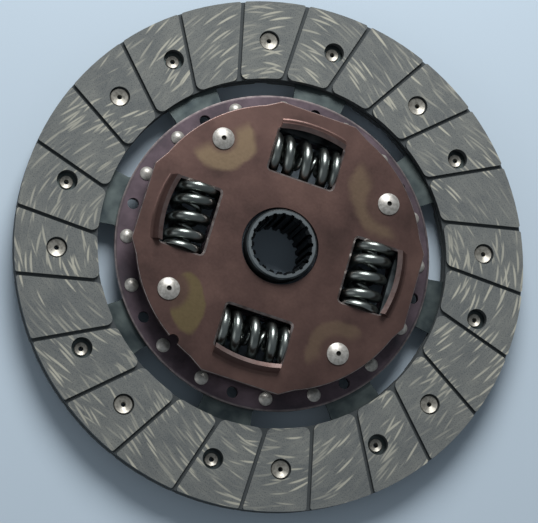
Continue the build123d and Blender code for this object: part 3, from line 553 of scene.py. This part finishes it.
# Painted highlight along the rolled edges and hood lips, where light catches them.
highlit = edge_highlight_share(brown_steel, place, highlight_patches, FRONT_PLATE_FRONT_MM, HOOD_LIP_MM)
tone = add(brown_steel, "Mix", {SHARE: highlit, COLOUR_0: tone, COLOUR_1: linear(PAINTED_EDGE_HIGHLIGHT)},
           data_type="RGBA")[MIXED]
grain = add(brown_steel, "TexNoise", {"Vector": place, "Scale": per_metre(SCALE_GRAIN_MM),
                                      "Detail": 3.0})[0]
relief = add(brown_steel, "Bump", {"Height": grain, "Strength": FRONT_GRAIN_STRENGTH,
                                   "Distance": FRONT_GRAIN_DEPTH_MM / 1000})[0]
dullness = add(brown_steel, "MapRange", {"Value": grain, TO: FRONT_ROUGHNESS})[0]
finish_material(brown_steel, Base_Color=tone, Metallic=FRONT_METALLIC, Roughness=dullness,
                Normal=relief)
dress(brown_steel, "front_plate")

# Facings: two rings of wound yarn, glass and brass wire in cured phenolic resin, ground flat and
# milled with straight grooves. Tubular rivets hold each to its side of the cushion plates.
FACING_GREY = "#656969"
FACING_PALE = "#767976"
FACING_DARK = "#3c4245"
FACING_CLOUD_MM = 11.0
FACING_CLOUD_LIMITS = (0.35, 0.66)  # noise at which a pale cloud starts and is full
FACING_CLOUD_ROUGHNESS = 0.65       # roughness of that noise
FACING_GRIT_MM = 0.45               # real grit is 0.1 mm or less, too fine to show
FACING_SPECK_LIMITS = (0.48, 0.3)   # noise at which a dark speck starts and is full
FACING_SPECK_SHARE = 0.7
FACING_GRIT_DEPTH_MM = 0.1
FACING_GRIT_STRENGTH = 0.5
FACING_ROUGHNESS = 0.88
FACING_MIDDLE_MM = 84.0             # radius of the ring's middle circle
FACING_FACE_MM = 4.02               # height of the ground face, on either side
FACING_SKIN_MM = (0.15, 0.05)       # depths below the ground face where yarn ends and is full
GROOVE_DARK_MM = (0.05, 0.6)        # depths below it where the grooves' dark starts and is full
GROOVE_DARK_SHARE = 0.85
YARN_CREAM = "#b8b6a7"
YARN_WIDTH_MM = 0.9
YARN_LENGTH_MM = 8.0
YARN_SPACING_MM = 2.0
YARN_RANDOMNESS = 0.8
YARN_SWING_MM = 11.0                # how far the winding runs in and out of its middle circle
YARN_LOBES = 4.0                    # how often it does so in one turn
YARN_LAYERS = 3
LAYER_PHASE = 0.5                   # radians from one layer's swing to the next one's
LAYER_SHIFT = 0.31                  # metres, more than the ring is wide, so that no layer repeats
DASH_GRIT = 0.14                    # share by which the grit frays a dash
DASH_OUTLINE = (0.12, 0.01)         # added to its half width, where it starts and is full
DASH_SHARE = (0.15, 0.95)           # from the faintest dash to the brightest
FIBRE_WIDTH_MM = 0.5
FIBRE_LIMITS = (0.55, 0.78)         # noise at which a fibre starts and is full
FIBRE_SHARE = 0.12

# Ground friction material: matt grey with pale clouds and dark grit. Yarn surfaces as short cream
# dashes with faint fibres beside them, whose slant changes round the ring. The grooves are darker.
wound_yarn, place = start_material("ground_wound_yarn_friction_facing")
cloud = add(wound_yarn, "TexNoise", {"Vector": place, "Scale": per_metre(FACING_CLOUD_MM),
                                     "Detail": 5.0, "Roughness": FACING_CLOUD_ROUGHNESS})[0]
tone = shaded(wound_yarn, cloud, FACING_CLOUD_LIMITS, FACING_GREY, FACING_PALE)
grit = add(wound_yarn, "TexNoise", {"Vector": place, "Scale": per_metre(FACING_GRIT_MM)})[0]
specks = add(wound_yarn, "MapRange", {"Value": grit, FROM: FACING_SPECK_LIMITS,
                                      TO: (0.0, FACING_SPECK_SHARE)})[0]
tone = add(wound_yarn, "Mix", {SHARE: specks, COLOUR_0: tone, COLOUR_1: linear(FACING_DARK)},
           data_type="RGBA")[MIXED]
x, y, z = add(wound_yarn, "SeparateXYZ", {0: place})
angle = add(wound_yarn, "Math", {0: y, 1: x}, operation="ARCTAN2")[0]
radius = level_radius(wound_yarn, place)
level = add(wound_yarn, "CombineXYZ", {0: x, 1: y})[0]
heading = add(wound_yarn, "VectorMath", {0: level}, operation="NORMALIZE")[0]
shortened = FACING_MIDDLE_MM / 1000 * YARN_WIDTH_MM / YARN_LENGTH_MM
heading = add(wound_yarn, "VectorMath", {0: heading, "Scale": shortened}, operation="SCALE")[0]
round_x, round_y, _ = add(wound_yarn, "SeparateXYZ", {0: heading})
dash_edge = [YARN_WIDTH_MM / 2 / YARN_SPACING_MM + edge for edge in DASH_OUTLINE]
yarn = 0.0
for layer in range(YARN_LAYERS):
    # One layer of winding: its yarn follows radius = middle + swing * sin(lobes * angle + phase).
    # Cells laid along such lines, thin across and long beside them, hold one dash in each middle.
    turns = add(wound_yarn, "Math", {0: angle, 1: YARN_LOBES, 2: LAYER_PHASE * layer},
                operation="MULTIPLY_ADD")[0]
    swing = add(wound_yarn, "Math", {0: turns}, operation="SINE")[0]
    line = add(wound_yarn, "Math", {0: swing, 1: -YARN_SWING_MM / 1000, 2: radius},
               operation="MULTIPLY_ADD")[0]
    line = add(wound_yarn, "Math", {0: line, 1: LAYER_SHIFT * layer}, operation="ADD")[0]
    spot = add(wound_yarn, "CombineXYZ", {0: round_x, 1: round_y, 2: line})[0]
    cell = add(wound_yarn, "TexVoronoi", {"Vector": spot, "Scale": per_metre(YARN_SPACING_MM),
                                          "Randomness": YARN_RANDOMNESS})
    near = add(wound_yarn, "Math", {0: grit, 1: DASH_GRIT, 2: cell["Distance"]},
               operation="MULTIPLY_ADD")[0]
    dash = add(wound_yarn, "MapRange", {"Value": near, FROM: dash_edge})[0]
    shade = add(wound_yarn, "SeparateXYZ", {0: cell["Color"]})[0]
    shade = add(wound_yarn, "MapRange", {"Value": shade, TO: DASH_SHARE})[0]
    dash = add(wound_yarn, "Math", {0: dash, 1: shade}, operation="MULTIPLY")[0]
    fibre = add(wound_yarn, "TexNoise", {"Vector": spot, "Scale": per_metre(2 * FIBRE_WIDTH_MM)})[0]
    fibre = add(wound_yarn, "MapRange", {"Value": fibre, FROM: FIBRE_LIMITS,
                                         TO: (0.0, FIBRE_SHARE)})[0]
    for mark in (dash, fibre):
        yarn = add(wound_yarn, "Math", {0: yarn, 1: mark}, operation="MAXIMUM")[0]
height = add(wound_yarn, "Math", {0: z}, operation="ABSOLUTE")[0]
on_face = add(wound_yarn, "MapRange", {
    "Value": height, FROM: [(FACING_FACE_MM - depth) / 1000 for depth in FACING_SKIN_MM]})[0]
yarn = add(wound_yarn, "Math", {0: yarn, 1: on_face}, operation="MULTIPLY")[0]
tone = add(wound_yarn, "Mix", {SHARE: yarn, COLOUR_0: tone, COLOUR_1: linear(YARN_CREAM)},
           data_type="RGBA")[MIXED]
in_groove = add(wound_yarn, "MapRange", {
    "Value": height, FROM: [(FACING_FACE_MM - depth) / 1000 for depth in GROOVE_DARK_MM],
    TO: (0.0, GROOVE_DARK_SHARE)})[0]
tone = add(wound_yarn, "Mix", {SHARE: in_groove, COLOUR_0: tone, COLOUR_1: linear(FACING_DARK)},
           data_type="RGBA")[MIXED]
relief = add(wound_yarn, "Bump", {"Height": grit, "Strength": FACING_GRIT_STRENGTH,
                                  "Distance": FACING_GRIT_DEPTH_MM / 1000})[0]
finish_material(wound_yarn, Base_Color=tone, Roughness=FACING_ROUGHNESS, Normal=relief)
dress(wound_yarn, "front_facing", "rear_facing")

# Facing rivets: tubular rivets of plated soft steel, eight from each side, set in counterbores
# through a cushion plate, with their tails rolled over in the opposite facing's clearance holes.
RIVET_BRIGHT = "#b0ada3"
RIVET_DULL = "#938f86"
RIVET_METALLIC = 0.6
RIVET_ROUGHNESS = 0.4
ROLLING_MARK_MM = 1.1               # real marks are 0.3 mm or less, too fine to show
ROLLING_MARK_LIMITS = (0.38, 0.58)  # noise at which a dull patch ends and is fully bright
ROLLING_MARK_DEPTH_MM = 0.1
ROLLING_MARK_STRENGTH = 0.3
RIVET_CIRCLE = 0.084                # metres
RIVET_STEP = 45                     # degrees between the rivets of one facing
RIVET_FIRST_ANGLES = (0, 18)        # degrees: one row for each facing
RIVET_DISH_SLOPE = 0.35             # how much a head rises for each millimetre outwards
FAR_AWAY = 1.0                      # metres, further than any rivet

# Plated soft steel, rolled over by a dished tool: dull silver, brighter where the tool rubbed, and
# hollow towards the middle, so that each head has a light and a dark side.
rolled_rivet, place = start_material("rolled_plated_soft_steel")
struck = add(rolled_rivet, "TexNoise", {"Vector": place, "Scale": per_metre(ROLLING_MARK_MM),
                                        "Detail": 3.0})[0]
tone = shaded(rolled_rivet, struck, ROLLING_MARK_LIMITS, RIVET_DULL, RIVET_BRIGHT)
radius = level_radius(rolled_rivet, place)
x, y, _ = add(rolled_rivet, "SeparateXYZ", {0: place})
turned = add(rolled_rivet, "Math", {0: y, 1: x}, operation="ARCTAN2")[0]
outward = add(rolled_rivet, "Math", {0: radius, 1: RIVET_CIRCLE}, operation="SUBTRACT")[0]
half_step = math.radians(RIVET_STEP / 2)
from_axis = FAR_AWAY
for first in RIVET_FIRST_ANGLES:
    # Distance from the nearest rivet's axis: (outward ^ 2 + along ^ 2) ^ 0.5, where along is the
    # radius times the angle from that rivet.
    angle = add(rolled_rivet, "Math", {0: turned, 1: math.radians(first)}, operation="SUBTRACT")[0]
    angle = add(rolled_rivet, "Math", {0: angle, 1: half_step, 2: -half_step}, operation="WRAP")[0]
    along = add(rolled_rivet, "Math", {0: angle, 1: radius}, operation="MULTIPLY")[0]
    spot = add(rolled_rivet, "CombineXYZ", {0: outward, 1: along})[0]
    away = add(rolled_rivet, "VectorMath", {0: spot}, operation="LENGTH")["Value"]
    from_axis = add(rolled_rivet, "Math", {0: from_axis, 1: away}, operation="MINIMUM")[0]
dished = add(rolled_rivet, "Bump", {"Height": from_axis, "Strength": 1.0,
                                    "Distance": RIVET_DISH_SLOPE})[0]
relief = add(rolled_rivet, "Bump", {"Height": struck, "Strength": ROLLING_MARK_STRENGTH,
                                    "Distance": ROLLING_MARK_DEPTH_MM / 1000, "Normal": dished})[0]
finish_material(rolled_rivet, Base_Color=tone, Metallic=RIVET_METALLIC, Roughness=RIVET_ROUGHNESS,
                Normal=relief)
dress(rolled_rivet, "front_facing_rivets", "rear_facing_rivets")

# Table top under the disc, which stands on its hub's rear end: a large plain board, painted a matt
# pale blue-grey, so that only the disc's soft shadow shows on it.
FLOOR_PALE = "#c3d3e0"
FLOOR_ROUGHNESS = 0.9
FLOOR_HALF_WIDTH = 3.0
floor_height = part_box("hub")[0][2]

board = start_material("plain_pale_board")[0]
finish_material(board, Base_Color=linear(FLOOR_PALE), Roughness=FLOOR_ROUGHNESS)
u, v = np.meshgrid((-1.0, 1.0), (-1.0, 1.0))
corners = np.stack([u * FLOOR_HALF_WIDTH, v * FLOOR_HALF_WIDTH, 0 * u + floor_height], -1)
floor_mesh = bpy.data.meshes.new("floor")
floor_mesh.from_pydata(corners.reshape(-1, 3).tolist(), [], [(0, 1, 3, 2)])
floor_mesh.materials.append(board)
floor = bpy.data.objects.new("floor", floor_mesh)
bpy.context.scene.collection.objects.link(floor)

# Studio light and camera: a pale sky all round, one broad soft lamp over the top right and a weaker
# one opposite, at a level where a colour renders about as it is written. The camera stands 0.8 m
# from the disc's middle, 16 degrees off its axis, with a long lens.
SKY = "#dfe8f0"
SKY_STRENGTH = 0.24
CAMERA_PLACE = Vector((-0.11218, -0.19784, 0.76407))
CAMERA_RIGHT = Vector((0.9379, 0.2778, 0.2076))
CAMERA_UP = Vector((-0.3172, 0.9292, 0.1895))
CAMERA_BACK = Vector((-0.1403, -0.2436, 0.9597))
CAMERA_LENS_MM = 138.05
CAMERA_SENSOR_MM = 36.0
# How far to the camera's right, up and towards it each lamp stands and how wide it is, in metres,
# and its power in watts. It shines at the disc's middle.
LAMPS = (dict(right=0.12, up=0.64, near=0.4, width=0.46, power=5.8),
         dict(right=-0.9, up=-0.2, near=0.9, width=0.9, power=1.2))

world = bpy.data.worlds.new("studio")
world.use_nodes = True
sky = world.node_tree.nodes["Background"]
sky.inputs["Color"].default_value = linear(SKY)
sky.inputs["Strength"].default_value = SKY_STRENGTH
bpy.context.scene.world = world
for number, stand in enumerate(LAMPS):
    lamp_data = bpy.data.lights.new("lamp_%d" % number, "AREA")
    lamp_data.shape = "DISK"
    lamp_data.size = stand["width"]
    lamp_data.energy = stand["power"]
    lamp = bpy.data.objects.new("lamp_%d" % number, lamp_data)
    lamp.location = (CAMERA_RIGHT * stand["right"] + CAMERA_UP * stand["up"]
                     + CAMERA_BACK * stand["near"])
    lamp.rotation_euler = lamp.location.to_track_quat("Z", "Y").to_euler()
    bpy.context.scene.collection.objects.link(lamp)

camera_data = bpy.data.cameras.new("camera")
camera_data.lens = CAMERA_LENS_MM
camera_data.sensor_width = CAMERA_SENSOR_MM
camera = bpy.data.objects.new("camera", camera_data)
aim = Matrix((CAMERA_RIGHT, CAMERA_UP, CAMERA_BACK)).transposed().to_4x4()
camera.matrix_world = Matrix.Translation(CAMERA_PLACE) @ aim
bpy.context.scene.collection.objects.link(camera)
bpy.context.scene.camera = camera
bpy.context.scene.view_settings.view_transform = "Standard"
